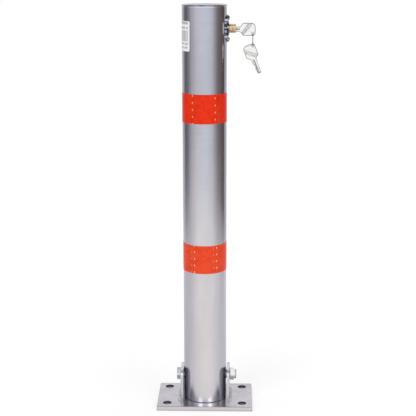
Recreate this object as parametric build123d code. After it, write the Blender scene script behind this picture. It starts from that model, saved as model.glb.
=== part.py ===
"""Fold-down parking post with a push-in barrel lock near its top.

Millimetres. X runs along the pivot bolt, Y away from the front, Z up.
The origin is the centre of the base plate's underside.
"""

from math import atan2, cos, radians, sin, sqrt
import os

from build123d import *

# Base plate
PLATE_LENGTH = 170.0
PLATE_WIDTH = 110.0
PLATE_THICK = 8.0
PLATE_CORNER = 3.0
PLATE_EDGE = 0.6
ANCHOR_SPACING_X = 134.0
ANCHOR_SPACING_Y = 76.0
ANCHOR_HOLE_R = 7.75

# Post tube and cap
TUBE_R = 38.0
TUBE_WALL = 2.5
FOOT_GAP = 1.0
POST_TOP = 710.8
CAP_THICK = 3.0
SEAM_BEVEL = 0.3
CAP_EDGE = 0.8
FOLD_CLEARANCE = 1.0

# Pivot
PIVOT_HEIGHT = 41.5
BOLT_R = 6.0
BOLT_HEAD_THICK = 7.5
BOLT_END_CHAMFER = 0.8
HEX_ACROSS_FLATS = 19.0
HEX_TURNED_SHARE = 0.98
NUT_HEX_THICK = 8.0
NUT_COLLAR_THICK = 4.0
NUT_COLLAR_R = 8.6
NUT_COLLAR_EDGE = 1.2
INSERT_THICK = 2.2
INSERT_R = 7.5
NUT_LIP = 0.9
NUT_LIP_GAP = 0.6
SLEEVE_WALL = 1.92
SLEEVE_LEFT_REACH = 0.4
SLEEVE_RIGHT_REACH = 1.2
SLEEVE_END_GAP = 0.2

# Ears
EAR_THICK = 5.0
EAR_HALF_WIDTH = 28.0
EAR_RISE = 14.5
EAR_CORNER_R = 10.5
EAR_EDGE = 0.5
WELD_LEG = 4.0
WELD_CROWN = 0.6
WELD_END_GAP = 1.5

# Reflective tape and sticker
TAPE_WIDTH = 50.0
TAPE_THICK = 0.35
GLUE_THICK = 0.05
LOWER_TAPE_RISE = 240.0
UPPER_TAPE_DROP = 198.3
TAPE_SEAM_ANGLE = 39.0
TAPE_SEAM_TOP = 0.5
TAPE_SEAM_FOOT = 2.4
LABEL_WIDTH_ANGLE = 60.0
LABEL_MIDDLE_ANGLE = -69.0
LABEL_DROP = 76.7
LABEL_HEIGHT = 50.0
LABEL_THICK = 0.2
LABEL_CORNER = 2.0
LABEL_SKEW = -0.5

# Lock housing
LOCK_DROP = 40.2
FLANGE_WIDTH = 29.0
FLANGE_HEIGHT = 46.0
FLANGE_THICK = 2.2
COLLAR_R = 12.5
COLLAR_STAND = 4.0
COLLAR_EDGE = 0.9
BOSS_R = 11.0
BOSS_INNER_X = 8.5
BOSS_END_WALL = 2.0
SCREW_OFFSET = 18.0
SCREW_R = 2.0
SCREW_INNER_X = 31.0
SCREW_HEAD_R = 4.5
SCREW_HEAD_HEIGHT = 3.4
SCREW_SEAT_DEPTH = 0.3
RECESS_LENGTH = 4.2
RECESS_WIDTH = 0.9
RECESS_DEPTH = 1.4

# Lock barrel and its tail
BARREL_R = 7.5
BARREL_FACE_X = 53.4
BARREL_CHAMFER = 0.8
BARREL_SHOULDER_X = 26.5
TAIL_R = 4.5
TAIL_OVERHANG = 7.0
LOCK_STROKE = 10.0
RETAINING_PIN_R = 1.5
RETAINING_PIN_X = 48.1
RETAINING_PIN_SINK = 0.1
LATCH_R = 2.0
LATCH_X = 29.3
LATCH_LENGTH = 6.0
LATCH_POCKET_DEPTH = 2.2

# Key plug and pins
PLUG_R = 4.8
PLUG_DROP = 1.7
PLUG_LENGTH = 21.0
GROOVE_DEPTH = 0.5
PIN_R = 1.25
PIN_FIRST = 2.8
PIN_PITCH = 3.3
PIN_TIP_R = 0.45
CUT_FLAT = 1.0
KEY_CUTS = (1.2, 2.2, 0.8, 1.8, 1.4)
DRIVER_LENGTH = 1.65
CHAMBER_ROOF = 0.7

# Keys and split ring
KEY_THICK = 2.2
KEY_EDGE = 0.5
BLADE_HEIGHT = 7.6
BLADE_LENGTH = 18.3
BLADE_TIP_BEVEL = 2.3
BLADE_HEEL_BEVEL = 1.1
SHANK_HEIGHT = 8.7
SHANK_LENGTH = 7.3
SHANK_OVERLAP = 1.0
MILL_DEPTH = 0.5
MILL_HEIGHT = 1.8
MILL_OFFSET = 0.5
KEYWAY_GAP = 0.04
BOW_LENGTH = 25.8
BOW_HEIGHT = 21.4
BOW_NECK_RUN = 5.0
BOW_END_BULGE = 1.0
BOW_END_CORNER = 7.0
BOW_HOLE_CORNER = 5.0
BOW_NECK_CORNER = 2.0
BAND_WIDTH = 6.0
BAND_DEPTH = 0.2
BAND_ALONG = 10.9
BAND_OFFSET = 1.7
BAND_ANGLE = 51.0
KEY_HOLE_R = 1.6
KEY_HOLE_ALONG = 21.3
KEY_HOLE_OFFSET = 6.9
SPARE_KEY_TURN = 112.5
RING_MEAN_R = 10.0
RING_WIRE_WIDTH = 0.7
RING_WIRE_DEPTH = 1.4
RING_TURN_GAP = 0.04
RING_CROSSING_PLACE = 80.0
RING_CROSSING_ANGLE = 20.0
RING_END_ANGLE = 3.0

# Lock rod and cam
ROD_R = 5.0
ROD_OFFSET_Y = 14.0
ROD_TIP_GAP = 2.5
ROD_TIP_CHAMFER = 1.5
KEEPER_HOLE_R = 5.5
FOLLOWER_R = 2.5
FOLLOWER_DROP = 13.6
FOLLOWER_STAND = 3.0
CAM_THICK = 3.0
CAM_MARGIN = 3.0
CAM_TOP_REACH = 3.0
CAM_RIVET_R = 1.5
CAM_CORNER = 1.5
GUIDE_THICK = 4.0
UPPER_GUIDE_DROP = 45.0
LOWER_GUIDE_RISE = 30.0

# Barrel spring
SPRING_WIRE_R = 0.5
SPRING_WIRE_SIDES = 6
SPRING_MEAN_R = 6.0
SPRING_TURNS = 4.5

# Clearances, and how far a cut runs past the face it opens
RUNNING_GAP = 0.08
BARREL_GAP = 0.06
SCREW_GAP = 0.05
SEAT_GAP = 0.1
TINY_GAP = 0.02
RING_GAP = 0.1
CAM_BOSS_GAP = 1.0
CUT_PAST = 1.0

# Places worked out from the sizes above
PIVOT_Z = PLATE_THICK + PIVOT_HEIGHT
TUBE_FOOT_Z = PLATE_THICK + FOOT_GAP
TUBE_TOP_Z = POST_TOP - CAP_THICK
TUBE_BORE_R = TUBE_R - TUBE_WALL
SLEEVE_BORE_R = BOLT_R + RUNNING_GAP
SLEEVE_R = SLEEVE_BORE_R + SLEEVE_WALL
SLEEVE_LEFT_X = -TUBE_R - SLEEVE_LEFT_REACH
SLEEVE_RIGHT_X = TUBE_R + SLEEVE_RIGHT_REACH
LEFT_EAR_OUTER_X = SLEEVE_LEFT_X - SLEEVE_END_GAP - EAR_THICK
RIGHT_EAR_INNER_X = SLEEVE_RIGHT_X + SLEEVE_END_GAP
RIGHT_EAR_OUTER_X = RIGHT_EAR_INNER_X + EAR_THICK
HEX_END_X = RIGHT_EAR_OUTER_X + NUT_HEX_THICK
NUT_END_X = HEX_END_X + NUT_COLLAR_THICK
INSERT_END_X = NUT_END_X - NUT_LIP
LOWER_TAPE_Z = TUBE_FOOT_Z + LOWER_TAPE_RISE
UPPER_TAPE_Z = POST_TOP - UPPER_TAPE_DROP
LABEL_Z = POST_TOP - LABEL_DROP
GLUED_R = TUBE_R + GLUE_THICK
LOCK_Z = POST_TOP - LOCK_DROP
COLLAR_FACE_X = TUBE_R + COLLAR_STAND
FLANGE_R = TUBE_R + FLANGE_THICK
SCREW_SEAT_X = FLANGE_R - SCREW_SEAT_DEPTH
PLUG_Z = LOCK_Z - PLUG_DROP
PLUG_INNER_X = BARREL_FACE_X - PLUG_LENGTH
BLADE_TIP_X = BARREL_FACE_X + SEAT_GAP - BLADE_LENGTH
BLADE_TOP = BLADE_HEIGHT / 2
TAIL_END_X = BOSS_INNER_X - TAIL_OVERHANG
RIVET_X = (TAIL_END_X + BOSS_INNER_X) / 2
CHAMBER_TOP_Z = LOCK_Z + BARREL_R - CHAMBER_ROOF
NECK_X = BARREL_FACE_X + SEAT_GAP + SHANK_LENGTH
KEY_HOLE_X = NECK_X + KEY_HOLE_ALONG
RING_LAYER_X = (RING_WIRE_WIDTH + RING_TURN_GAP) / 2
RING_WIDTH = 2 * RING_WIRE_WIDTH + RING_TURN_GAP
RING_CORNER_R = sqrt(RING_WIDTH**2 + RING_WIRE_DEPTH**2) / 2
RING_HANG = KEY_HOLE_R - RING_CORNER_R - RING_GAP
RING_TOP_Z = PLUG_Z - KEY_HOLE_OFFSET - RING_HANG
RING_FOOT_Z = RING_TOP_Z - 2 * RING_MEAN_R
SPARE_HOLE_Z = RING_FOOT_Z - RING_HANG
ROD_TIP_Z = PLATE_THICK + ROD_TIP_GAP
FOLLOWER_Z = LOCK_Z - FOLLOWER_DROP
FAR = 2 * TUBE_R


def rod_along_x(radius, x_from, x_to, y=0.0, z=0.0):
    """Round bar along X."""
    bar = Cylinder(radius, x_to - x_from, rotation=(0, 90, 0))
    return Pos((x_from + x_to) / 2, y, z) * bar


def rod_along_y(radius, y_from, y_to, x=0.0, z=0.0):
    """Round bar along Y."""
    bar = Cylinder(radius, y_to - y_from, rotation=(90, 0, 0))
    return Pos(x, (y_from + y_to) / 2, z) * bar


def rod_along_z(radius, z_from, z_to, x=0.0, y=0.0):
    """Round bar along Z."""
    return Pos(x, y, (z_from + z_to) / 2) * Cylinder(radius, z_to - z_from)


def block(x_range, y_range, z_range):
    """Box between two corners, given as three ranges."""
    size = [high - low for low, high in (x_range, y_range, z_range)]
    middle = [(high + low) / 2 for low, high in (x_range, y_range, z_range)]
    return Pos(*middle) * Box(*size)


def slab_along_x(sketch, x_from, x_to):
    """Sketch in (Y, Z) made solid between two X places."""
    plane = Plane(origin=(x_from, 0, 0), x_dir=(0, 1, 0), z_dir=(1, 0, 0))
    return extrude(plane * sketch, amount=x_to - x_from)


def slab_along_y(sketch, y_from, y_to):
    """Sketch in (X, Z) made solid between two Y places."""
    plane = Plane(origin=(0, y_to, 0), x_dir=(1, 0, 0), z_dir=(0, -1, 0))
    return extrude(plane * sketch, amount=y_to - y_from)


def base_plate():
    """Flat plate with four anchor holes and the keeper hole for the lock rod."""
    plate = Pos(0, 0, PLATE_THICK / 2) * Box(PLATE_LENGTH, PLATE_WIDTH, PLATE_THICK)
    plate = fillet(plate.edges().filter_by(Axis.Z), PLATE_CORNER)
    plate = chamfer(plate.faces().sort_by(Axis.Z)[-1].edges(), PLATE_EDGE)
    for side_x in (-1, 1):
        for side_y in (-1, 1):
            x = side_x * ANCHOR_SPACING_X / 2
            y = side_y * ANCHOR_SPACING_Y / 2
            plate -= rod_along_z(ANCHOR_HOLE_R, -CUT_PAST, PLATE_THICK + CUT_PAST, x, y)
    return plate - rod_along_z(KEEPER_HOLE_R, -CUT_PAST, PLATE_THICK + CUT_PAST, 0, -ROD_OFFSET_Y)


def ear_profile():
    """Ear outline in (Y, Z): straight sides and rounded top corners."""
    height = PIVOT_HEIGHT + EAR_RISE
    with BuildSketch() as outline:
        with Locations((0, PLATE_THICK + height / 2)):
            Rectangle(2 * EAR_HALF_WIDTH, height)
        fillet(outline.vertices().group_by(Axis.Y)[-1], EAR_CORNER_R)
    return outline.sketch


def weld_bead(outer_x, side):
    """Crowned fillet weld between the ear's outer face and the plate."""
    half = EAR_HALF_WIDTH - WELD_END_GAP
    root = (outer_x - side * EAR_EDGE / 2, PLATE_THICK)
    toe = (outer_x + side * WELD_LEG, PLATE_THICK)
    top = (outer_x, PLATE_THICK + WELD_LEG)
    middle = WELD_LEG / 2 + WELD_CROWN / sqrt(2)
    crown = (outer_x + side * middle, PLATE_THICK + middle)
    with BuildSketch() as section:
        with BuildLine():
            ThreePointArc(toe, crown, top)
            Polyline(top, (root[0], top[1]), root, toe)
        make_face()
    return slab_along_y(section.sketch, -half, half)


def ear(inner_x, side):
    """One ear, drilled for the bolt, with a weld bead along its outer foot."""
    outer_x = inner_x + side * EAR_THICK
    low, high = sorted((inner_x, outer_x))
    lug = slab_along_x(ear_profile(), low, high)
    outer_face = lug.faces().sort_by(Axis.X)[-1 if side > 0 else 0]
    lug = chamfer(outer_face.edges().sort_by(Axis.Z)[1:], EAR_EDGE)
    lug -= rod_along_x(BOLT_R + SCREW_GAP, low - CUT_PAST, high + CUT_PAST, 0, PIVOT_Z)
    return lug + weld_bead(outer_x, side)


def hexagon_bar(x_from, x_to, chamfer_low, chamfer_high):
    """Hexagon bar along X with its corners turned down at the chosen ends."""
    corner_r = HEX_ACROSS_FLATS / sqrt(3)
    flats_r = HEX_ACROSS_FLATS / 2
    with BuildSketch() as hexagon:
        RegularPolygon(corner_r, 6)
    bar = slab_along_x(hexagon.sketch, x_from, x_to)
    turned = Cylinder(corner_r + TINY_GAP, x_to - x_from, rotation=(0, 90, 0))
    run = (corner_r - flats_r + TINY_GAP) * HEX_TURNED_SHARE
    ends = []
    if chamfer_low:
        ends.append(turned.edges().sort_by(Axis.X)[0])
    if chamfer_high:
        ends.append(turned.edges().sort_by(Axis.X)[-1])
    turned = chamfer(ends, run / 2, run)
    return Pos(0, 0, PIVOT_Z) * (bar & Pos((x_from + x_to) / 2, 0, 0) * turned)


def pivot_bolt():
    """Hex head bolt with its head on the left ear and its end flush with the nut."""
    head = hexagon_bar(LEFT_EAR_OUTER_X - BOLT_HEAD_THICK, LEFT_EAR_OUTER_X, True, False)
    shank = rod_along_x(BOLT_R, LEFT_EAR_OUTER_X, NUT_END_X, 0, PIVOT_Z)
    end = shank.edges().sort_by(Axis.X)[-1]
    return head + chamfer(end, BOLT_END_CHAMFER)


def nut_collar():
    """Collar of the locking nut, outside the hexagon."""
    collar = rod_along_x(NUT_COLLAR_R, HEX_END_X, NUT_END_X, 0, PIVOT_Z)
    return chamfer(collar.edges().sort_by(Axis.X)[-1], NUT_COLLAR_EDGE)


def pivot_nut():
    """Locking nut: hexagon, collar and the pocket for its nylon ring."""
    nut = hexagon_bar(RIGHT_EAR_OUTER_X, HEX_END_X, True, True) + nut_collar()
    nut -= rod_along_x(BOLT_R, 0, NUT_END_X + CUT_PAST, 0, PIVOT_Z)
    nut -= rod_along_x(INSERT_R, INSERT_END_X - INSERT_THICK, INSERT_END_X, 0, PIVOT_Z)
    return nut - rod_along_x(BOLT_R + NUT_LIP_GAP, INSERT_END_X, NUT_END_X + CUT_PAST, 0, PIVOT_Z)


def nut_insert():
    """Nylon ring that grips the bolt inside the nut's collar."""
    ring = rod_along_x(INSERT_R, INSERT_END_X - INSERT_THICK, INSERT_END_X, 0, PIVOT_Z)
    return ring - rod_along_x(BOLT_R, 0, NUT_END_X, 0, PIVOT_Z)


def fold_relief():
    """What the lower back of the post loses, so that it swings over the plate."""
    sweep_r = PIVOT_HEIGHT - FOLD_CLEARANCE
    corner = block((-FAR, FAR), (0, FAR), (0, PIVOT_Z))
    return corner - rod_along_x(sweep_r, -2 * FAR, 2 * FAR, 0, PIVOT_Z)


def post_tube():
    """Post tube, open at its foot and cut for the sleeve, the lock and its screws."""
    tube = rod_along_z(TUBE_R, TUBE_FOOT_Z, TUBE_TOP_Z)
    tube = chamfer(tube.edges().sort_by(Axis.Z)[-1], SEAM_BEVEL)
    tube -= rod_along_z(TUBE_BORE_R, TUBE_FOOT_Z - CUT_PAST, TUBE_TOP_Z + CUT_PAST)
    tube -= fold_relief()
    tube -= rod_along_x(SLEEVE_R, -FAR, FAR, 0, PIVOT_Z)
    tube -= rod_along_x(BOSS_R + SCREW_GAP, 0, FAR, 0, LOCK_Z)
    for side in (-1, 1):
        tube -= rod_along_x(SCREW_R + SCREW_GAP, 0, FAR, 0, LOCK_Z + side * SCREW_OFFSET)
    return tube


def top_cap():
    """Disc welded on the tube, bevelled at the seam and at the top."""
    disc = rod_along_z(TUBE_R, TUBE_TOP_Z, POST_TOP)
    disc = chamfer(disc.edges().sort_by(Axis.Z)[-1], CAP_EDGE)
    return chamfer(disc.edges().sort_by(Axis.Z)[0], SEAM_BEVEL)


def tape_band(z_from):
    """Band of reflective tape around the tube."""
    band = rod_along_z(GLUED_R + TAPE_THICK, z_from, z_from + TAPE_WIDTH)
    return band - rod_along_z(GLUED_R, z_from - CUT_PAST, z_from + TAPE_WIDTH + CUT_PAST)


def turned_to(angle, shape):
    """Carry a shape built at the front of the post to an angle, positive to the right."""
    return Rot(0, 0, angle) * shape


def upper_band():
    """Upper band, whose tape ends leave a slanting gap that widens downwards."""
    foot = UPPER_TAPE_Z - CUT_PAST
    top = UPPER_TAPE_Z + TAPE_WIDTH + CUT_PAST
    points = [(0, foot), (TAPE_SEAM_FOOT, foot), (TAPE_SEAM_TOP, top), (0, top)]
    wedge = slab_along_y(make_face(Polyline(*points, close=True)), -FAR, 0)
    return tape_band(UPPER_TAPE_Z) - turned_to(TAPE_SEAM_ANGLE, wedge)


def label_sticker():
    """Thin sticker around the left side, a little askew."""
    width = 2 * TUBE_R * sin(radians(LABEL_WIDTH_ANGLE / 2))
    with BuildSketch() as outline:
        with Locations((0, LABEL_Z + LABEL_HEIGHT / 2)):
            RectangleRounded(width, LABEL_HEIGHT, LABEL_CORNER, rotation=LABEL_SKEW)
    stamp = slab_along_y(outline.sketch, -FAR, 0)
    low = LABEL_Z - LABEL_HEIGHT
    high = LABEL_Z + 2 * LABEL_HEIGHT
    skin = rod_along_z(GLUED_R + LABEL_THICK, low, high)
    skin -= rod_along_z(GLUED_R, low - CUT_PAST, high + CUT_PAST)
    return skin & turned_to(LABEL_MIDDLE_ANGLE, stamp)


def pivot_sleeve():
    """Sleeve welded across the tube, which turns on the bolt."""
    sleeve = rod_along_x(SLEEVE_R, SLEEVE_LEFT_X, SLEEVE_RIGHT_X, 0, PIVOT_Z)
    return sleeve - rod_along_x(SLEEVE_BORE_R, -FAR, FAR, 0, PIVOT_Z)


def saddle_flange():
    """Oval flange that hugs the tube."""
    with BuildSketch() as outline:
        with Locations((0, LOCK_Z)):
            SlotOverall(FLANGE_HEIGHT, FLANGE_WIDTH, rotation=90)
    flange = slab_along_x(outline.sketch, 0, FAR)
    low = LOCK_Z - FLANGE_HEIGHT
    high = LOCK_Z + FLANGE_HEIGHT
    flange &= rod_along_z(FLANGE_R, low, high)
    return flange - rod_along_z(TUBE_R, low - CUT_PAST, high + CUT_PAST)


def lock_housing():
    """Cast housing: saddle flange, raised collar and a boss that reaches into the tube."""
    collar = rod_along_x(COLLAR_R, 0, COLLAR_FACE_X, 0, LOCK_Z)
    collar = chamfer(collar.edges().sort_by(Axis.X)[-1], COLLAR_EDGE)
    collar -= rod_along_z(TUBE_R, LOCK_Z - FLANGE_HEIGHT, LOCK_Z + FLANGE_HEIGHT)
    boss = rod_along_x(BOSS_R, BOSS_INNER_X, TUBE_R + FLANGE_THICK / 2, 0, LOCK_Z)
    housing = saddle_flange() + collar + boss
    for side in (-1, 1):
        z = LOCK_Z + side * SCREW_OFFSET
        housing -= rod_along_x(SCREW_HEAD_R, SCREW_SEAT_X, FAR, 0, z)
        housing -= rod_along_x(SCREW_R + SCREW_GAP, 0, FAR, 0, z)
    chamber_x = BOSS_INNER_X + BOSS_END_WALL
    housing -= rod_along_x(BARREL_R + BARREL_GAP, chamber_x, FAR, 0, LOCK_Z)
    housing -= rod_along_x(TAIL_R + BARREL_GAP, 0, FAR, 0, LOCK_Z)
    pocket_x = LATCH_X - LOCK_STROKE
    pocket_top = LOCK_Z + BARREL_R + LATCH_POCKET_DEPTH
    return housing - rod_along_z(LATCH_R + SEAT_GAP, LOCK_Z, pocket_top, pocket_x)


def dome_screw(z):
    """Dome-head screw with a cross recess, pointing at the tube's axis."""
    dome_r = (SCREW_HEAD_R**2 + SCREW_HEAD_HEIGHT**2) / (2 * SCREW_HEAD_HEIGHT)
    centre_x = SCREW_HEAD_HEIGHT - dome_r
    middle_angle = atan2(SCREW_HEAD_R, -centre_x) / 2
    middle = (centre_x + dome_r * cos(middle_angle), dome_r * sin(middle_angle))
    with BuildSketch() as half:
        with BuildLine():
            ThreePointArc((0, SCREW_HEAD_R), middle, (SCREW_HEAD_HEIGHT, 0))
            Polyline((SCREW_HEAD_HEIGHT, 0), (0, 0), (0, SCREW_HEAD_R))
        make_face()
    head = Pos(SCREW_SEAT_X, 0, z) * revolve(half.sketch, Axis.X)
    top_x = SCREW_SEAT_X + SCREW_HEAD_HEIGHT
    for turn in (0, 90):
        arm = Box(2 * RECESS_DEPTH, RECESS_LENGTH, RECESS_WIDTH, rotation=(turn, 0, 0))
        head -= Pos(top_x, 0, z) * arm
    return head + rod_along_x(SCREW_R, SCREW_INNER_X, SCREW_SEAT_X, 0, z)


def housing_screws():
    """The two screws that hold the housing."""
    return Compound(children=[dome_screw(LOCK_Z + side * SCREW_OFFSET) for side in (-1, 1)])


def pin_places():
    """X places of the lock's pins, from the barrel's face inwards."""
    return [BARREL_FACE_X - PIN_FIRST - n * PIN_PITCH for n in range(len(KEY_CUTS))]


def lock_barrel():
    """Brass barrel: plug bore, pin chambers, latch bore and a slotted tail."""
    barrel = rod_along_x(BARREL_R, BARREL_SHOULDER_X, BARREL_FACE_X, 0, LOCK_Z)
    barrel = chamfer(barrel.edges().sort_by(Axis.X)[-1], BARREL_CHAMFER)
    barrel += rod_along_x(TAIL_R, TAIL_END_X, BARREL_SHOULDER_X, 0, LOCK_Z)
    barrel -= rod_along_x(PLUG_R + RUNNING_GAP, PLUG_INNER_X - SEAT_GAP, FAR, 0, PLUG_Z)
    for x in pin_places():
        barrel -= rod_along_z(PIN_R + TINY_GAP, PLUG_Z, CHAMBER_TOP_Z, x)
    barrel -= rod_along_y(RETAINING_PIN_R, -FAR, 0, RETAINING_PIN_X, LOCK_Z)
    latch_foot_z = LOCK_Z + BARREL_R - LATCH_LENGTH
    barrel -= rod_along_z(LATCH_R, latch_foot_z, LOCK_Z + BARREL_R + CUT_PAST, LATCH_X)
    half = CAM_THICK / 2
    slot_z = (LOCK_Z - BARREL_R, LOCK_Z + BARREL_R)
    barrel -= block((TAIL_END_X - CUT_PAST, BOSS_INNER_X), (-half, half), slot_z)
    return barrel - rod_along_y(CAM_RIVET_R, -FAR, FAR, RIVET_X, LOCK_Z)


def retaining_pin():
    """Pin through the barrel's side that holds the plug by its part groove."""
    groove_r = PLUG_R - GROOVE_DEPTH
    tip_y = -sqrt(groove_r**2 - max(0.0, PLUG_DROP - RETAINING_PIN_R) ** 2) - SEAT_GAP
    head_y = -sqrt(BARREL_R**2 - RETAINING_PIN_R**2) + RETAINING_PIN_SINK
    return rod_along_y(RETAINING_PIN_R, head_y, tip_y, RETAINING_PIN_X, LOCK_Z)


def latch_bolt():
    """Round bolt in the barrel's side, held in by the housing's bore."""
    top = LOCK_Z + sqrt(BARREL_R**2 - LATCH_R**2)
    return rod_along_z(LATCH_R, LOCK_Z + BARREL_R - LATCH_LENGTH, top, LATCH_X)


def key_plug():
    """Plug with its keyway, pin chambers and a part groove that stops it after a quarter turn."""
    plug = rod_along_x(PLUG_R, PLUG_INNER_X, BARREL_FACE_X, 0, PLUG_Z)
    keyway_y = KEY_THICK / 2 + KEYWAY_GAP
    keyway_z = BLADE_HEIGHT / 2 + KEYWAY_GAP
    way = ((-keyway_y, keyway_y), (PLUG_Z - keyway_z, PLUG_Z + keyway_z))
    plug -= block((BLADE_TIP_X - SEAT_GAP, FAR), *way)
    for x in pin_places():
        plug -= rod_along_z(PIN_R + TINY_GAP, PLUG_Z, PLUG_Z + PLUG_R + CUT_PAST, x)
    half = RETAINING_PIN_R + SEAT_GAP
    span = (RETAINING_PIN_X - half, RETAINING_PIN_X + half)
    groove = rod_along_x(PLUG_R + CUT_PAST, *span, 0, PLUG_Z)
    groove -= rod_along_x(PLUG_R - GROOVE_DEPTH, *span, 0, PLUG_Z)
    quarter_z = (PLUG_Z - BARREL_R, PLUG_Z + PLUG_DROP + half)
    return plug - (groove & block(span, (-BARREL_R, half), quarter_z))


def key_pins():
    """Pins that stand on the key's cuts, level with the plug."""
    pins = []
    top = PLUG_Z + sqrt(PLUG_R**2 - PIN_R**2) - TINY_GAP
    for x, cut in zip(pin_places(), KEY_CUTS):
        foot = PLUG_Z + BLADE_TOP - cut + TINY_GAP
        pin = rod_along_z(PIN_R, foot, top, x)
        pin = chamfer(pin.edges().sort_by(Axis.Z)[0], PIN_R - PIN_TIP_R)
        pins.append(pin)
    return Compound(children=pins)


def driver_pins():
    """Pins above the key pins, just clear of the plug."""
    foot = PLUG_Z + PLUG_R + TINY_GAP
    pins = [rod_along_z(PIN_R, foot, foot + DRIVER_LENGTH, x) for x in pin_places()]
    return Compound(children=pins)


def blade_sketch():
    """Shank and cut blade in the key's own frame: neck at 0, tip at negative X."""
    tip = -SHANK_LENGTH - BLADE_LENGTH
    points = [
        (-SHANK_LENGTH, -BLADE_TOP),
        (-SHANK_LENGTH, BLADE_TOP),
        (tip + BLADE_TIP_BEVEL, BLADE_TOP),
        (tip, BLADE_TOP - BLADE_TIP_BEVEL),
        (tip, BLADE_HEEL_BEVEL - BLADE_TOP),
        (tip + BLADE_HEEL_BEVEL, -BLADE_TOP),
    ]
    blade = make_face(Polyline(*points, close=True))
    for x, cut in zip(pin_places(), KEY_CUTS):
        blade -= Pos(x - NECK_X, BLADE_TOP - cut) * cut_notch(cut + CUT_PAST)
    shank = Rectangle(SHANK_LENGTH + SHANK_OVERLAP, SHANK_HEIGHT)
    return blade + Pos((SHANK_OVERLAP - SHANK_LENGTH) / 2, 0) * shank


def cut_notch(rise):
    """One cut of the key: a flat floor at 0 with sides at 45 degrees."""
    floor = CUT_FLAT / 2
    points = [(-floor, 0), (floor, 0), (floor + rise, rise), (-floor - rise, rise)]
    return make_face(Polyline(*points, close=True))


def key_bow():
    """Bow of the key: flared neck, straight sides and a bulging end."""
    side = BOW_HEIGHT / 2
    side_end = BOW_LENGTH - BOW_END_BULGE
    lower = [(side_end, -side), (BOW_NECK_RUN, -side), (0, -SHANK_HEIGHT / 2)]
    upper = [(x, -y) for x, y in reversed(lower)]
    with BuildSketch() as bow:
        with BuildLine():
            Polyline(*lower, *upper)
            ThreePointArc(upper[-1], (BOW_LENGTH, 0), lower[0])
        make_face()
        radii = (BOW_HOLE_CORNER, BOW_NECK_CORNER), (BOW_END_CORNER, BOW_NECK_CORNER)
        for corners, sizes in zip((lower, reversed(upper)), radii):
            for corner, radius in zip(corners, sizes):
                fillet(bow.vertices().sort_by_distance(corner)[0], radius)
    return bow.sketch


def key_solid():
    """Flat key in its own frame, with its hole, milled blade and a sunk band on each face."""
    half = KEY_THICK / 2
    bow = key_bow()
    solid = extrude(bow, amount=half, both=True)
    solid = chamfer(solid.faces().filter_by(Axis.Z).edges(), KEY_EDGE)
    solid += extrude(blade_sketch(), amount=half, both=True)
    solid -= Pos(KEY_HOLE_ALONG, -KEY_HOLE_OFFSET, 0) * Cylinder(KEY_HOLE_R, 2 * KEY_THICK)
    stripe = Pos(BAND_ALONG, BAND_OFFSET) * Rot(0, 0, BAND_ANGLE) * Rectangle(FAR, BAND_WIDTH)
    band = extrude(bow & stripe, amount=BAND_DEPTH)
    mill_length = BLADE_LENGTH + SHANK_LENGTH
    mill_x = -SHANK_OVERLAP - mill_length / 2
    mill = Box(mill_length, MILL_HEIGHT, 2 * MILL_DEPTH)
    for face in (-1, 1):
        solid -= Pos(mill_x, MILL_OFFSET * face, half * face) * mill
    solid -= Pos(0, 0, half - BAND_DEPTH) * band
    return solid - Pos(0, 0, -half) * band


def key():
    """Key in the lock, its blade in the plug and its bow outside."""
    return Pos(NECK_X, 0, PLUG_Z) * Rot(90, 0, 0) * key_solid()


def spare_key():
    """The same key again, hung from the ring with its weight below the hole."""
    hung = Rot(0, 0, SPARE_KEY_TURN) * Pos(-KEY_HOLE_ALONG, KEY_HOLE_OFFSET, 0) * key_solid()
    return Pos(KEY_HOLE_X, 0, SPARE_HOLE_Z) * Rot(90, 0, 0) * hung


def ring_section(angle, layer):
    """Section of the flat wire, turned round the ring from its top towards the front."""
    wire = Rot(90, 0, 0) * Rectangle(RING_WIRE_WIDTH, RING_WIRE_DEPTH)
    return Rot(angle, 0, 0) * Pos(layer * RING_LAYER_X, 0, RING_MEAN_R) * wire


def key_ring():
    """Split ring: two flat turns side by side, joined by a short crossing."""
    crossing_end = RING_CROSSING_PLACE + RING_CROSSING_ANGLE
    turn = 360 - RING_CROSSING_ANGLE - RING_END_ANGLE
    right = revolve(ring_section(crossing_end + RING_END_ANGLE, 1), Axis.X, turn)
    left = revolve(ring_section(crossing_end, -1), Axis.X, turn)
    ends = [ring_section(RING_CROSSING_PLACE, 1), ring_section(crossing_end, -1)]
    crossing = loft(ends, ruled=True)
    return Pos(KEY_HOLE_X, 0, RING_TOP_Z - RING_MEAN_R) * (right + crossing + left)


def barrel_spring():
    """Spring between the housing's end wall and the barrel's shoulder."""
    low = BOSS_INNER_X + BOSS_END_WALL + SPRING_WIRE_R + TINY_GAP
    high = BARREL_SHOULDER_X - SPRING_WIRE_R - TINY_GAP
    pitch = (high - low) / SPRING_TURNS
    path = Helix(pitch, high - low, SPRING_MEAN_R)
    section = Plane(origin=path @ 0, z_dir=path % 0) * RegularPolygon(SPRING_WIRE_R, SPRING_WIRE_SIDES)
    coil = sweep(section, path=path, is_frenet=True)
    return Pos(low, 0, LOCK_Z) * Rot(0, 90, 0) * coil


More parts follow.
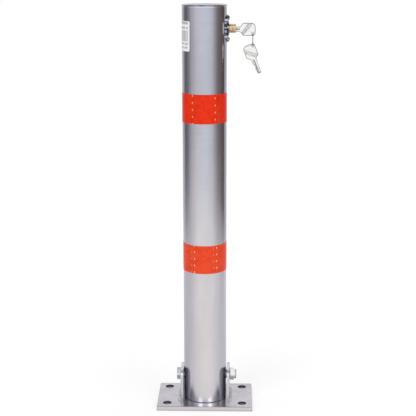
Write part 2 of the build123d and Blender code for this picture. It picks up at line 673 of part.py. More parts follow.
def cam_plate():
    """Slotted plate in the barrel's tail: its slope turns the push into the rod's drop."""
    right = BOSS_INNER_X - SEAT_GAP
    reach = FOLLOWER_R + RUNNING_GAP + CAM_MARGIN
    top = LOCK_Z + TAIL_R + CAM_TOP_REACH
    slot_right = LOCK_STROKE + reach
    slot_foot = FOLLOWER_Z - LOCK_STROKE - reach
    step_z = LOCK_Z - BOSS_R - CAM_BOSS_GAP
    slope_z = step_z - (slot_right - right)
    points = [
        (-reach, top),
        (right, top),
        (right, step_z),
        (slot_right, slope_z),
        (slot_right, slot_foot),
        (LOCK_STROKE - reach, slot_foot),
        (-reach, FOLLOWER_Z - reach),
    ]
    with BuildSketch() as outline:
        with BuildLine():
            Polyline(*points, close=True)
        make_face()
        fillet(outline.vertices().group_by(Axis.Y)[-1].sort_by(Axis.X)[0], CAM_CORNER)
        slope = sqrt(2) * (LOCK_STROKE + SEAT_GAP)
        width = 2 * (FOLLOWER_R + RUNNING_GAP)
        with Locations((LOCK_STROKE / 2, FOLLOWER_Z - LOCK_STROKE / 2)):
            SlotCenterToCenter(slope, width, rotation=-45, mode=Mode.SUBTRACT)
    plate = slab_along_y(outline.sketch, -CAM_THICK / 2, CAM_THICK / 2)
    return plate - rod_along_y(CAM_RIVET_R, -FAR, FAR, RIVET_X, LOCK_Z)


def cam_rivet():
    """Rivet across the tail and the cam plate."""
    reach = sqrt(TAIL_R**2 - CAM_RIVET_R**2)
    return rod_along_y(CAM_RIVET_R, -reach, reach, RIVET_X, LOCK_Z)


def lock_rod():
    """Rod from the follower pin down to just above the plate."""
    top = FOLLOWER_Z + ROD_R
    rod = rod_along_z(ROD_R, ROD_TIP_Z, top, 0, -ROD_OFFSET_Y)
    rod = chamfer(rod.edges().sort_by(Axis.Z)[0], ROD_TIP_CHAMFER)
    return rod - rod_along_y(FOLLOWER_R, -FAR, 0, 0, FOLLOWER_Z)


def follower_pin():
    """Pin across the rod that runs in the cam plate's slot."""
    back = -ROD_OFFSET_Y - sqrt(ROD_R**2 - FOLLOWER_R**2)
    return rod_along_y(FOLLOWER_R, back, CAM_THICK / 2 + FOLLOWER_STAND, 0, FOLLOWER_Z)


def rod_guide(z_from):
    """Disc fixed in the tube with a hole that guides the rod."""
    z_to = z_from + GUIDE_THICK
    disc = rod_along_z(TUBE_BORE_R, z_from, z_to)
    return disc - rod_along_z(ROD_R + RUNNING_GAP, z_from - CUT_PAST, z_to + CUT_PAST, 0, -ROD_OFFSET_Y)


def pieces():
    """Every piece by its name."""
    left_inner_x = LEFT_EAR_OUTER_X + EAR_THICK
    upper_guide_z = LOCK_Z - UPPER_GUIDE_DROP
    lower_guide_z = PIVOT_Z + SLEEVE_R + LOWER_GUIDE_RISE
    return {
        "base_plate": base_plate(),
        "ear_left": ear(left_inner_x, -1),
        "ear_right": ear(RIGHT_EAR_INNER_X, 1),
        "pivot_bolt": pivot_bolt(),
        "pivot_nut": pivot_nut(),
        "nut_insert": nut_insert(),
        "post_tube": post_tube(),
        "top_cap": top_cap(),
        "reflective_band_upper": upper_band(),
        "reflective_band_lower": tape_band(LOWER_TAPE_Z),
        "label_sticker": label_sticker(),
        "pivot_sleeve": pivot_sleeve(),
        "lock_housing": lock_housing(),
        "housing_screws": housing_screws(),
        "rod_guide_upper": rod_guide(upper_guide_z),
        "rod_guide_lower": rod_guide(lower_guide_z),
        "barrel_spring": barrel_spring(),
        "lock_barrel": lock_barrel(),
        "retaining_pin": retaining_pin(),
        "latch_bolt": latch_bolt(),
        "driver_pins": driver_pins(),
        "cam_plate": cam_plate(),
        "cam_rivet": cam_rivet(),
        "key_plug": key_plug(),
        "key_pins": key_pins(),
        "key": key(),
        "key_ring": key_ring(),
        "spare_key": spare_key(),
        "lock_rod": lock_rod(),
        "follower_pin": follower_pin(),
    }


os.makedirs("parts", exist_ok=True)
for name, piece in pieces().items():
    export_step(piece, f"parts/{name}.step")
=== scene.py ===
"""Looks of the fold-down parking post: its finishes, weld beads, spring, light, floor and camera.

Metres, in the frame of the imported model: X along the pivot bolt, Y away from the front, Z up.
"""

from math import cos, pi, radians, sin, sqrt

import bpy
from mathutils import Matrix, Vector


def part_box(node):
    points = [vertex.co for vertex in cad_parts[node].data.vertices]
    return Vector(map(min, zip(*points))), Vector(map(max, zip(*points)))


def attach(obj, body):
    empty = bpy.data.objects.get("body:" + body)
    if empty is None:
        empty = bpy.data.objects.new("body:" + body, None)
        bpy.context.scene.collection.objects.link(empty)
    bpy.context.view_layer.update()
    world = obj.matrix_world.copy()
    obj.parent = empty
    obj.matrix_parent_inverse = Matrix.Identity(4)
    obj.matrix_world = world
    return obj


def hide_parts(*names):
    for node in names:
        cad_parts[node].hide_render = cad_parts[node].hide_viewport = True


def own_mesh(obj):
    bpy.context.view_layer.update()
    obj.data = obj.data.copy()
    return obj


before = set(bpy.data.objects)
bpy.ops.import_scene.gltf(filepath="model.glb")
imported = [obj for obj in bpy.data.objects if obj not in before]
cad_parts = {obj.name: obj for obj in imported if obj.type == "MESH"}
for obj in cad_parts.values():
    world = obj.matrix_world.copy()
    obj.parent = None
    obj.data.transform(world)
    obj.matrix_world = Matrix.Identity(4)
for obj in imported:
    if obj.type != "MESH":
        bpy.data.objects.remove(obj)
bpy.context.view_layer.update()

MM = 0.001
WHITE = (1.0, 1.0, 1.0, 1.0)

# Places read from the frame
TUBE_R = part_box("post_tube")[1].x
CAP_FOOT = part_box("top_cap")[0].z
PLATE_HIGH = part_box("base_plate")[1]
LABEL_LOW, LABEL_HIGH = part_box("label_sticker")
BOLT_LOW, BOLT_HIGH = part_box("pivot_bolt")
NUT_LOW, NUT_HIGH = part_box("pivot_nut")
KEY_FACE_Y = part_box("key")[1].y

# Camera, as the photograph was taken
CAMERA_PLACE = (0.0531, -1.8594, 0.7939)
CAMERA_YAW = -0.0255
CAMERA_PITCH = 0.2299
CAMERA_ROLL = -0.0018
CAMERA_NEAR = 0.05
CAMERA_FAR = 50.0
SENSOR_WIDTH = 36.0
FRAME_PIXELS = 416
FOCAL_PIXELS = 1087.76

# Studio seen in the metal: degrees around the post, 0 at the front and positive to the right
STUDIO_RING = (
    (-180, "#cacace"),
    (-148, "#c2c0c5"),
    (-134, "#bcb8be"),
    (-125, "#8a868e"),
    (-117, "#6c6870"),
    (-110, "#66666f"),
    (-98, "#70727c"),
    (-88, "#84868f"),
    (-80, "#9a9aa2"),
    (-70, "#b6b3b7"),
    (-60, "#c0bcbe"),
    (-38, "#d4d6df"),
    (10, "#dadfea"),
    (38, "#cdd0d9"),
    (52, "#b4b3ba"),
    (66, "#8e8b92"),
    (78, "#756f73"),
    (90, "#766560"),
    (100, "#6f5c55"),
    (110, "#555053"),
    (118, "#3c3d47"),
    (126, "#787882"),
    (134, "#b2b2b8"),
    (150, "#bcbcc1"),
    (165, "#c2c2c6"),
    (180, "#cacace"),
)
FLOOR_RING = (
    (-180, "#dcdce2"),
    (-125, "#d2d0da"),
    (-70, "#e8e4e6"),
    (-45, "#f6f1f1"),
    (-15, "#fffaf6"),
    (20, "#fffaf6"),
    (42, "#faf6f6"),
    (65, "#efebef"),
    (92, "#e4e1e8"),
    (120, "#dcdce4"),
    (150, "#dadae2"),
    (180, "#dcdce2"),
)
UPPER_RING = (
    (-180, "#e6e6e8"),
    (-150, "#e6e6e8"),
    (-128, "#88888e"),
    (-110, "#66666c"),
    (-78, "#66666c"),
    (-60, "#a8a8ae"),
    (-45, "#f2f2f6"),
    (45, "#f4f2f2"),
    (60, "#aaa8aa"),
    (78, "#66625f"),
    (110, "#605c5a"),
    (128, "#84828a"),
    (150, "#e6e6e8"),
    (180, "#e6e6e8"),
)
UPPER_LEVEL = 1.25
CEILING_COLOUR = "#6a6a70"
GROUND_COLOUR = "#808086"

# Where one part of the studio fades into the next, in degrees above the horizon
FLOOR_FADE = (-12.0, -14.6)
UPPER_FADE = (10.0, 18.0)
CEILING_FADE = (50.0, 64.0)
GROUND_FADE = (-46.0, -60.0)

# Far edge of the studio's floor: where it is highest, in degrees, and its drop in degrees per radian away
FLOOR_LEAN = -29.0
FLOOR_CURVE = 0.6

# Brightness of the studio's floor, from near to far
FLOOR_LEVEL_NEAR = 0.88
FLOOR_LEVEL_FAR = 1.12
FLOOR_LEVEL_FADE = (-24.0, -14.0)

# Softboxes: the middle in degrees around the post, the colour, and the fades of the edges in degrees
SOFTBOXES = ((-24.0, (3.2, 3.2, 3.26, 1.0)), (28.0, (3.2, 3.1, 2.98, 1.0)))
SOFTBOX_SIDE_FADE = (12.0, 8.0)
SOFTBOX_LOW_FADE = (14.0, 17.0)
SOFTBOX_HIGH_FADE = (50.0, 47.0)

# Plain light on matt surfaces
AMBIENT_LIGHT = (0.57, 0.57, 0.57, 1.0)

# Lamps: name, place, height of the point on the post's axis that each is aimed at, side and power
LAMPS = (
    ("key_lamp", (-1.1, -1.5, 1.9), 0.35, 1.2, 18.5),
    ("fill_lamp", (1.4, -1.2, 1.2), 0.3, 1.2, 9.8),
    ("top_lamp", (0.1, 0.5, 2.2), 0.2, 1.4, 11.8),
)

# Floor, white to the camera apart from a share of shadow that fades away from the plate
FLOOR_RADIUS = 1.4
FLOOR_SIDES = 96
FLOOR_DROP = 0.2 * MM
FLOOR_COLOUR = (0.9, 0.9, 0.9, 1.0)
FLOOR_GLOW = 1.05
SHADOW_SHARE = 0.4
SHADOW_FADE = (0.12, 0.6)
# Painted shade: the floor under the plate is dark grey, seen through the plate's holes
PAINTED_SHADE_UNDER_PLATE = "#46464c"

# Pattern values that a roughness runs between, and how level a surface is where its top's colour fades in
ROUGH_PATTERN = (0.3, 0.7)
LEVEL_FADE = (0.5, 0.9)

# Tube and cap: the painted highlight along the welded seam under the cap, the darker rim above it and the
# scuffed foot
SEAM_DROP = 0.4 * MM
SEAM_HIGHLIGHT_FADE = (1.3 * MM, 0.5 * MM)
DARKER_RIM_FADE = (0.7 * MM, 1.2 * MM)
SCUFF_FADE = (75.0 * MM, 20.0 * MM)
SCUFF_ROUGHNESS = 0.1

# Plate: its four holes, and the painted shade down its sides and down the holes' walls
HOLE_X = 67.0 * MM
HOLE_Y = 38.0 * MM
HOLE_REACH = 9.0 * MM
SIDE_FADE = (1.0 * MM, 3.0 * MM)
WALL_FADE = (5.5 * MM, 2.0 * MM)

# Ears, weld, bolt and nut: where their darker and bluer places fade in
HEAT_FADE = (19.0 * MM, 11.0 * MM)
INNER_FACE_FADE = (-0.5, -0.9)
BEAD_TOP_FADE = (3.4 * MM, 4.6 * MM)
BOLT_UPPER_FADE = (2.0 * MM, 5.0 * MM)
BOLT_LOWER_FADE = (-1.0 * MM, -5.0 * MM)
NUT_UNDER_FADE = (2.4 * MM, 1.2 * MM)
NUT_OUTER_FADE = (1.8 * MM, 0.8 * MM)
NUT_INNER_FADE = (1.4 * MM, 0.7 * MM)

# Lock housing and keys: painted shade in crevices and along key edges, and depths below a key's face
CREVICE_REACH = 3.0 * MM
CREVICE_FADE = (0.45, 0.85)
EDGE_REACH = 1.6 * MM
EDGE_SHADE_FADE = (0.98, 0.7)
EDGE_TURN_FADE = (0.96, 0.8)
BAND_TOP_FADE = (0.1 * MM, 0.15 * MM)
BAND_FLOOR_FADE = (0.35 * MM, 0.25 * MM)
MILLED_FADE = (0.4 * MM, 0.45 * MM)

# Reflective tape: its cells, and its painted glints in columns around the post
CELL_PITCH = 4.05 * MM
CELL_BORDER_FADE = (0.8, 0.97)
CELL_BORDER_SHARE = 0.08
GLINT_COLUMN_STEP = 60.0
GLINT_PITCH = 12.0 * MM
GLINT_RISE_PER_COLUMN = -4.4 * MM
GLINT_HALF_WIDTH = 1.1 * MM
GLINT_HALF_HEIGHT = 1.9 * MM
GLINT_EDGE_FADE = (1.15, 0.5)

# Tapes: material, first glint below the top, dark, light and painted glint colours, (degrees, strength) of
# columns
TAPES = {
    "reflective_band_upper": (
        "tape_upper",
        2.0 * MM,
        ("#dc2402", "#ea2c06", "#ffb678"),
        ((-30.3, 0.92),),
    ),
    "reflective_band_lower": (
        "tape_lower",
        -0.4 * MM,
        ("#df3c18", "#ee4722", "#ffc890"),
        ((-35.5, 0.28), (-26.2, 0.92)),
    ),
}

# Sticker: its middle and its lean in degrees, and the half width of its paper around the post
LABEL_ANGLE = -69.0
LABEL_SKEW = -0.5
LABEL_HALF_ANGLE = 30.0
PRINT_MARGIN = 3.4 * MM
PRINT_STRENGTH = 0.8
BLOCK_SHARE = 0.78
BAR_PITCH = 0.9 * MM
DASH_PITCH = 3.6 * MM

# Rows of the print: lower and upper edge from the sticker's middle, pitch, share of blocks kept, first draw
PRINT_ROWS = (
    (19.6 * MM, 24.0 * MM, 0.67 * DASH_PITCH, 0.95, 3.0),
    (12.0 * MM, 15.6 * MM, 0.67 * DASH_PITCH, 0.9, 11.0),
    (-8.6 * MM, 9.6 * MM, BAR_PITCH, 0.62, 40.0),
    (-14.2 * MM, -11.0 * MM, 0.7 * DASH_PITCH, 0.7, 23.0),
    (-20.6 * MM, -17.2 * MM, 0.9 * DASH_PITCH, 0.7, 57.0),
)

# Weld beads: sizes, and the slow waves along them as (height, radians per metre, shift by side)
PLAIN_BEAD_LEG = 4.0 * MM
BEAD_END_GAP = 0.9 * MM
BEAD_SINK = 0.2 * MM
BEAD_LEG = 4.4 * MM
BEAD_BULGE = 0.7 * MM
BEAD_RIPPLE = 0.28 * MM
BEAD_RIPPLE_PITCH = 1.7 * MM
BEAD_RIPPLE_LAG = 0.9
BEAD_WAVES = ((0.25 * MM, 310.0, 1.3), (0.18 * MM, 720.0, 0.0))
BEAD_STEPS = 220
BEAD_ARC_STEPS = 14


def channel(byte):
    """Linear light of one colour channel, from 0 to 255."""
    value = byte / 255
    if value <= 0.04045:
        return value / 12.92
    return ((value + 0.055) / 1.055) ** 2.4


def linear(code):
    """Linear colour with alpha from a #rrggbb code."""
    return tuple(channel(int(code[n:n + 2], 16)) for n in (1, 3, 5)) + (1.0,)


def add_object(name, data):
    """New object in the scene."""
    item = bpy.data.objects.new(name, data)
    bpy.context.scene.collection.objects.link(item)
    return item


class Shading:
    """Short calls that add nodes to one shader tree."""

    def __init__(self, tree):
        self.tree = tree

    def add(self, kind, inputs=None, **settings):
        """Add a node, set its options, and link or set its inputs."""
        node = self.tree.nodes.new(kind)
        for key, value in settings.items():
            setattr(node, key, value)
        for socket, value in (inputs or {}).items():
            if isinstance(value, bpy.types.NodeSocket):
                self.tree.links.new(value, node.inputs[socket])
            else:
                node.inputs[socket].default_value = value
        return node

    def calc(self, operation, *values):
        """Result of one Math node."""
        return self.add("ShaderNodeMath", dict(enumerate(values)), operation=operation).outputs[0]

    def remap(self, value, low, high, to_low=0.0, to_high=1.0):
        """Smooth step of a value from one range to another."""
        inputs = {"Value": value, "From Min": low, "From Max": high, "To Min": to_low, "To Max": to_high}
        return self.add("ShaderNodeMapRange", inputs, interpolation_type="SMOOTHSTEP").outputs[0]

    def mix(self, factor, first, second):
        """Blend of two colours, each a #rrggbb code, four numbers or a socket."""
        first, second = (linear(c) if isinstance(c, str) else c for c in (first, second))
        inputs = {0: factor, 6: first, 7: second}
        return self.add("ShaderNodeMix", inputs, data_type="RGBA").outputs[2]

    def lay(self, base, colour, mask, share):
        """Colour laid over another by a mask, as strongly as its share."""
        return self.mix(self.calc("MULTIPLY", mask, share), base, colour)

    def scale(self, colour, level):
        """Colour made brighter or darker by one factor."""
        return self.add("ShaderNodeVectorMath", {0: colour, "Scale": level}, operation="SCALE").outputs[0]

    def length(self, first, second):
        """Length of a flat vector."""
        squares = [self.calc("POWER", value, 2.0) for value in (first, second)]
        return self.calc("SQRT", self.calc("ADD", *squares))

    def split(self, vector):
        """X, Y and Z of a vector."""
        return self.add("ShaderNodeSeparateXYZ", {0: vector}).outputs[:3]


class Finish(Shading):
    """One procedural material, with short calls for its patterns and for its shader's inputs."""

    def __init__(self, name, **constants):
        self.material = bpy.data.materials.new(name)
        self.material.use_nodes = True
        super().__init__(self.material.node_tree)
        self.shader = self.tree.nodes["Principled BSDF"]
        self.place = self.add("ShaderNodeTexCoord").outputs["Object"]
        for key, value in constants.items():
            socket = key.replace("_", " ").title().replace("Ior", "IOR")
            self.shader.inputs[socket].default_value = value

    def axes(self):
        """X, Y and Z of the point."""
        return self.split(self.place)

    def normal(self):
        """X, Y and Z of the surface's direction."""
        return self.split(self.add("ShaderNodeTexCoord").outputs["Normal"])

    def upwards(self):
        """How far the surface lies flat, 1 where it is level."""
        return self.calc("ABSOLUTE", self.normal()[2])

    def around_tube(self):
        """Angle to the right of the front, in radians, and height."""
        x, y, z = self.axes()
        return self.calc("ARCTAN2", x, self.calc("MULTIPLY", y, -1.0)), z

    def repeat(self, value, period):
        """Value measured from the middle of the period that it lies in."""
        return self.calc("WRAP", value, period / 2, -period / 2)

    def noise(self, lumps, stretch=(1.0, 1.0, 1.0), detail=3.0, roughness=0.55):
        """Noise with a number of lumps per metre, stretched by direction."""
        place = self.add("ShaderNodeMapping", {"Vector": self.place, "Scale": stretch}).outputs[0]
        inputs = {"Vector": place, "Scale": lumps, "Detail": detail, "Roughness": roughness}
        return self.add("ShaderNodeTexNoise", inputs).outputs[0]

    def blend(self, first, second, share):
        """Two patterns added, the first by its share and the second by the rest."""
        return self.calc("MULTIPLY_ADD", second, 1 - share, self.calc("MULTIPLY", first, share))

    def tones(self, pattern, dark, light, spread=0.15):
        """Two colours, changing from one to the other where a pattern is within a spread of its middle."""
        return self.mix(self.remap(pattern, 0.5 - spread, 0.5 + spread), dark, light)

    def openness(self, reach, samples, inside=False):
        """Share of what is within reach that is open, outside the surface or inside the metal."""
        settings = {"samples": samples, "inside": inside}
        return self.add("ShaderNodeAmbientOcclusion", {"Distance": reach}, **settings).outputs["AO"]

    def roughen(self, pattern, smooth, rough):
        """Roughness between two values, by a pattern."""
        self.feed("Roughness", self.remap(pattern, *ROUGH_PATTERN, smooth, rough))

    def bump(self, height, depth, strength):
        """Feed a height pattern to the normal, with its depth in metres."""
        inputs = {"Height": height, "Distance": depth, "Strength": strength}
        if self.shader.inputs["Normal"].is_linked:
            inputs["Normal"] = self.shader.inputs["Normal"].links[0].from_socket
        self.feed("Normal", self.add("ShaderNodeBump", inputs).outputs[0])

    def feed(self, socket, value):
        """Link a value to the shader."""
        self.tree.links.new(value, self.shader.inputs[socket])


def polished_steel():
    """Polished tube and cap: fine rings around the post, faint clouds, a few rub marks, a painted highlight
    along the seam and a paler, bluer level top as painted light.
    """
    look = Finish("polished_steel", metallic=1.0, anisotropic=0.6, anisotropic_rotation=0.25)
    look.feed("Tangent", look.add("ShaderNodeTangent", direction_type="RADIAL", axis="Z").outputs[0])
    rings = look.noise(420.0, stretch=(0.08, 0.08, 9.0), detail=4.0, roughness=0.65)
    clouds = look.noise(14.0, stretch=(1.0, 1.0, 0.35))
    rubs = look.noise(55.0, stretch=(1.0, 1.0, 0.12), detail=2.0)
    z = look.axes()[2]
    above_seam = look.calc("SUBTRACT", z, CAP_FOOT)
    seam = look.remap(look.calc("ABSOLUTE", look.calc("ADD", above_seam, SEAM_DROP)), *SEAM_HIGHLIGHT_FADE)
    # A darker, mottled band on the cap's side above the seam
    darker_rim = look.tones(look.noise(90.0), "#9c9692", "#d8d6da")
    sides = look.tones(look.blend(rings, clouds, share=0.45), "#d3d2d6", "#e0dfe3")
    # Painted highlight: a near-white line along the seam
    sides = look.mix(seam, sides, "#f6f7fc")
    sides = look.mix(look.remap(above_seam, *DARKER_RIM_FADE), sides, darker_rim)
    # Painted light: the level top is a paler, bluer tone than the sides
    look.feed("Base Color", look.mix(look.remap(look.upwards(), *LEVEL_FADE), sides, "#e4e2ea"))
    polish = look.remap(look.blend(rings, rubs, share=0.5), *ROUGH_PATTERN, to_low=0.1, to_high=0.19)
    scuffed = look.remap(z, *SCUFF_FADE, to_high=SCUFF_ROUGHNESS)
    look.feed("Roughness", look.calc("ADD", polish, scuffed))
    look.bump(rings, depth=0.012 * MM, strength=0.5)
    return look.material


def plate_steel():
    """Zinc-grey plate with a fine grain and soft clouds, brighter on its cut sides, with painted shade at
    their feet and down the holes' walls.
    """
    look = Finish("grained_plate", metallic=0.8)
    grain = look.noise(900.0, detail=2.0)
    clouds = look.noise(38.0, detail=4.0)
    rolled = look.noise(160.0, stretch=(0.25, 1.0, 1.0))
    spots = look.remap(look.noise(260.0, detail=2.0), 0.54, 0.7)
    face = look.tones(look.blend(grain, clouds, share=0.4), "#b7b3bb", "#c9c5cc", spread=0.14)
    face = look.lay(face, "#98949e", spots, share=0.5)
    x, y, z = look.axes()
    from_hole_x = look.calc("SUBTRACT", look.calc("ABSOLUTE", x), HOLE_X)
    from_hole_y = look.calc("SUBTRACT", look.calc("ABSOLUTE", y), HOLE_Y)
    in_hole = look.calc("LESS_THAN", look.length(from_hole_x, from_hole_y), HOLE_REACH)
    # Painted shade: sides darker towards the floor, and the holes' walls dark grey, paler towards their
    # foot
    outside = look.mix(look.remap(z, *SIDE_FADE), "#c3bfc6", "#d5d2d9")
    wall = look.mix(look.remap(z, *WALL_FADE), "#484550", "#84808a")
    side = look.mix(in_hole, outside, wall)
    look.feed("Base Color", look.mix(look.remap(look.upwards(), *LEVEL_FADE), side, face))
    look.roughen(rolled, smooth=0.12, rough=0.2)
    look.bump(grain, depth=0.05 * MM, strength=0.5)
    look.bump(rolled, depth=0.03 * MM, strength=0.4)
    return look.material


def ear_steel():
    """Cut and dressed lugs: grinding lines along the face, heat stains above the weld, and painted shade on
    the faces turned to the post.
    """
    look = Finish("dressed_lug", metallic=0.75)
    lines = look.noise(500.0, stretch=(1.0, 0.12, 2.0), detail=4.0)
    x, _, z = look.axes()
    outwards = look.calc("MULTIPLY", look.calc("SIGN", x), look.normal()[0])
    heat = look.calc("MULTIPLY", look.remap(z, *HEAT_FADE), look.remap(look.noise(330.0), 0.45, 0.6))
    bright = look.tones(look.noise(60.0), "#cfcdd2", "#dedce0")
    stained = look.lay(bright, "#96938e", heat, share=0.6)
    # Painted shade: faces turned to the post are a darker, bluer grey
    look.feed("Base Color", look.mix(look.remap(outwards, *INNER_FACE_FADE), stained, "#c6c8d0"))
    look.roughen(lines, smooth=0.26, rough=0.38)
    look.bump(lines, depth=0.03 * MM, strength=0.5)
    return look.material


def weld_steel():
    """Weld bead: pale metal with straw-brown specks, darker along its top at the ear."""
    look = Finish("weld_bead", metallic=0.35)
    grit = look.noise(1400.0)
    above_plate = look.calc("SUBTRACT", look.axes()[2], PLATE_HIGH.z)
    pale = look.tones(look.noise(240.0), "#d6d4dc", "#e6e3e8", spread=0.1)
    pale = look.mix(look.remap(above_plate, *BEAD_TOP_FADE), pale, "#86848a")
    look.feed("Base Color", look.mix(look.remap(grit, 0.64, 0.78), pale, "#8a7a66"))
    look.roughen(grit, smooth=0.3, rough=0.5)
    look.bump(grit, depth=0.04 * MM, strength=0.4)
    return look.material


def zinc_plating(name, metallic, dark, light):
    """Finish with a fine grit, and its mottled zinc colour."""
    look = Finish(name, metallic=metallic)
    grit = look.noise(1500.0)
    look.roughen(grit, smooth=0.3, rough=0.42)
    look.bump(grit, depth=0.02 * MM, strength=0.4)
    return look, look.tones(look.noise(160.0), dark, light, spread=0.12)


def bolt_zinc():
    """Bright zinc-plated steel, greyer above the bolt's axis as painted shade and pale blue below it as
    painted light.
    """
    look, bright = zinc_plating("bright_zinc", 0.55, "#c8cccc", "#dcdcd8")
    above_axis = look.calc("SUBTRACT", look.axes()[2], (BOLT_LOW.z + BOLT_HIGH.z) / 2)
    # Painted shade on the upper facets, painted light on the lower ones
    upper = look.mix(look.remap(above_axis, *BOLT_UPPER_FADE), bright, "#b8bec6")
    look.feed("Base Color", look.mix(look.remap(above_axis, *BOLT_LOWER_FADE), upper, "#dff4ff"))
    return look.material


def nut_zinc():
    """Paler zinc of the lock nut, with painted shade along its rims and its underside."""
    look, bright = zinc_plating("nut_zinc", 0.4, "#e4e4e4", "#f2f2f0")
    x, _, z = look.axes()
    under = look.remap(look.calc("SUBTRACT", z, NUT_LOW.z), *NUT_UNDER_FADE)
    outer = look.remap(look.calc("SUBTRACT", NUT_HIGH.x, x), *NUT_OUTER_FADE)
    inner = look.remap(look.calc("SUBTRACT", x, NUT_LOW.x), *NUT_INNER_FADE)
    # Painted shade along the nut's rims and underside
    painted_rim_shade = look.calc("MAXIMUM", look.calc("MAXIMUM", outer, inner), under)
    look.feed("Base Color", look.lay(bright, "#56565a", painted_rim_shade, share=0.85))
    return look.material


def chrome():
    """Chrome-plated cast housing: patches of painted reflection, casting waves and painted shade in its
    crevices.
    """
    look = Finish("chrome_plate", metallic=1.0)
    waves = look.noise(180.0, detail=1.0)
    haze = look.noise(420.0)
    # Painted reflections: dark and bright patches standing in for the studio seen in the chrome
    painted_reflections = look.tones(look.noise(240.0, detail=1.0), "#4a4b52", "#eef0f6", spread=0.08)
    # Painted shade: near black in crevices
    in_the_open = look.remap(look.openness(CREVICE_REACH, samples=8), *CREVICE_FADE)
    look.feed("Base Color", look.mix(in_the_open, "#141418", painted_reflections))
    look.feed("Roughness", look.remap(haze, 0.35, 0.7, to_low=0.04, to_high=0.09))
    look.bump(waves, depth=0.3 * MM, strength=0.8)
    return look.material


def brass():
    """Turned brass: lathe lines around the barrel and duller patches."""
    look = Finish("turned_brass", metallic=0.55)
    lines = look.noise(1600.0, stretch=(1.0, 0.05, 0.05), detail=2.0)
    patches = look.noise(220.0)
    look.feed("Base Color", look.tones(patches, "#cdb080", "#e4cea4"))
    look.roughen(patches, smooth=0.32, rough=0.42)
    look.bump(lines, depth=0.03 * MM, strength=0.6)
    return look.material


def plain_metal(name, lumps, dark, light, smooth, rough):
    """Bare metal with one fine haze."""
    look = Finish(name, metallic=1.0)
    haze = look.noise(lumps)
    look.feed("Base Color", look.tones(haze, dark, light))
    look.roughen(haze, smooth, rough)
    return look.material


def pin_metal():
    """Nickel silver of the small pins."""
    return plain_metal("pin_metal", 900.0, "#a9a493", "#c2beae", smooth=0.3, rough=0.42)


def drawn_wire():
    """Drawn wire: bluish dark steel."""
    return plain_metal("drawn_wire", 800.0, "#8c8e92", "#a6a8ac", smooth=0.25, rough=0.38)


def key_nickel():
    """Nickel-plated key: bright faces, painted shade along its stamped edges, a dull sunk band and darker
    milled cuts.
    """
    look = Finish("key_nickel", metallic=0.45)
    haze = look.noise(160.0)
    # Painted shade: darker near the edges, found inside the metal, and on the faces turned sideways
    near_edge = look.remap(look.openness(EDGE_REACH, samples=16, inside=True), *EDGE_SHADE_FADE)
    patchy = look.remap(look.noise(420.0), 0.3, 0.6, to_low=0.55, to_high=0.9)
    patchy_edge_shade = look.calc("MULTIPLY", near_edge, patchy)
    facing = look.calc("ABSOLUTE", look.normal()[1])
    edge = look.calc("MAXIMUM", look.remap(facing, *EDGE_TURN_FADE), patchy_edge_shade)
    depth = look.calc("SUBTRACT", KEY_FACE_Y, look.calc("ABSOLUTE", look.axes()[1]))
    sunk = look.calc("MULTIPLY", look.remap(depth, *BAND_TOP_FADE), look.remap(depth, *BAND_FLOOR_FADE))
    blotch = look.remap(look.noise(520.0), 0.38, 0.6, to_low=0.25, to_high=0.75)
    # Painted edge shade, and milled cuts a little darker
    edge_shade_and_milled = look.calc("MAXIMUM", edge, look.calc("MULTIPLY", look.remap(depth, *MILLED_FADE), 0.25))
    face = look.lay(look.tones(haze, "#f6f5f0", "#fcfcfa"), "#a39a95", sunk, blotch)
    look.feed("Base Color", look.mix(edge_shade_and_milled, face, "#5c524e"))
    look.roughen(haze, smooth=0.32, rough=0.4)
    return look.material


def inner_steel():
    """Plain steel inside the post, with an oily film."""
    look = Finish("inner_steel", metallic=1.0)
    grit = look.noise(1100.0)
    look.feed("Base Color", look.tones(look.noise(90.0), "#8b8a88", "#a5a4a2"))
    look.roughen(grit, smooth=0.32, rough=0.48)
    look.bump(grit, depth=0.02 * MM, strength=0.4)
    return look.material


def nylon():
    """Blue-white nylon ring of the locking nut."""
    look = Finish("nylon", roughness=0.45, subsurface_weight=0.1)
    haze = look.noise(700.0)
    look.feed("Base Color", look.tones(haze, "#c9cdd6", "#dfe2e8"))
    look.bump(haze, depth=0.02 * MM, strength=0.3)
    return look.material


def honeycomb(look, across, up):
    """Distance of a point from the middle of its hexagon cell, 1 on the border."""
    rise = CELL_PITCH * sqrt(3)
    reaches = []
    for shift in (0.0, 0.5):
        moved_across = look.calc("ADD", across, shift * CELL_PITCH)
        moved_up = look.calc("ADD", up, shift * rise)
        sideways = look.calc("ABSOLUTE", look.repeat(moved_across, CELL_PITCH))
        upright = look.calc("ABSOLUTE", look.repeat(moved_up, rise))
        half_sideways = look.calc("MULTIPLY", sideways, 0.5)
        slanted = look.calc("MULTIPLY_ADD", upright, sqrt(3) / 2, half_sideways)
        reaches.append(look.calc("MAXIMUM", sideways, slanted))
    return look.calc("DIVIDE", look.calc("MINIMUM", *reaches), CELL_PITCH / 2)


def glint_spots(look, angle, below_top, column_angle):
    """Painted glints: spots in columns around the tape, one column every sixty degrees."""
    turned = look.calc("SUBTRACT", look.calc("DEGREES", angle), column_angle)
    sideways = look.calc("MULTIPLY", look.repeat(turned, GLINT_COLUMN_STEP), radians(1) * TUBE_R)
    column = look.calc("ROUND", look.calc("DIVIDE", turned, GLINT_COLUMN_STEP))
    lowered = look.calc("ADD", below_top, look.calc("MULTIPLY", column, GLINT_RISE_PER_COLUMN))
    upright = look.repeat(lowered, GLINT_PITCH)
    wide = look.calc("DIVIDE", sideways, GLINT_HALF_WIDTH)
    tall = look.calc("DIVIDE", upright, GLINT_HALF_HEIGHT)
    return look.remap(look.length(wide, tall), *GLINT_EDGE_FADE)


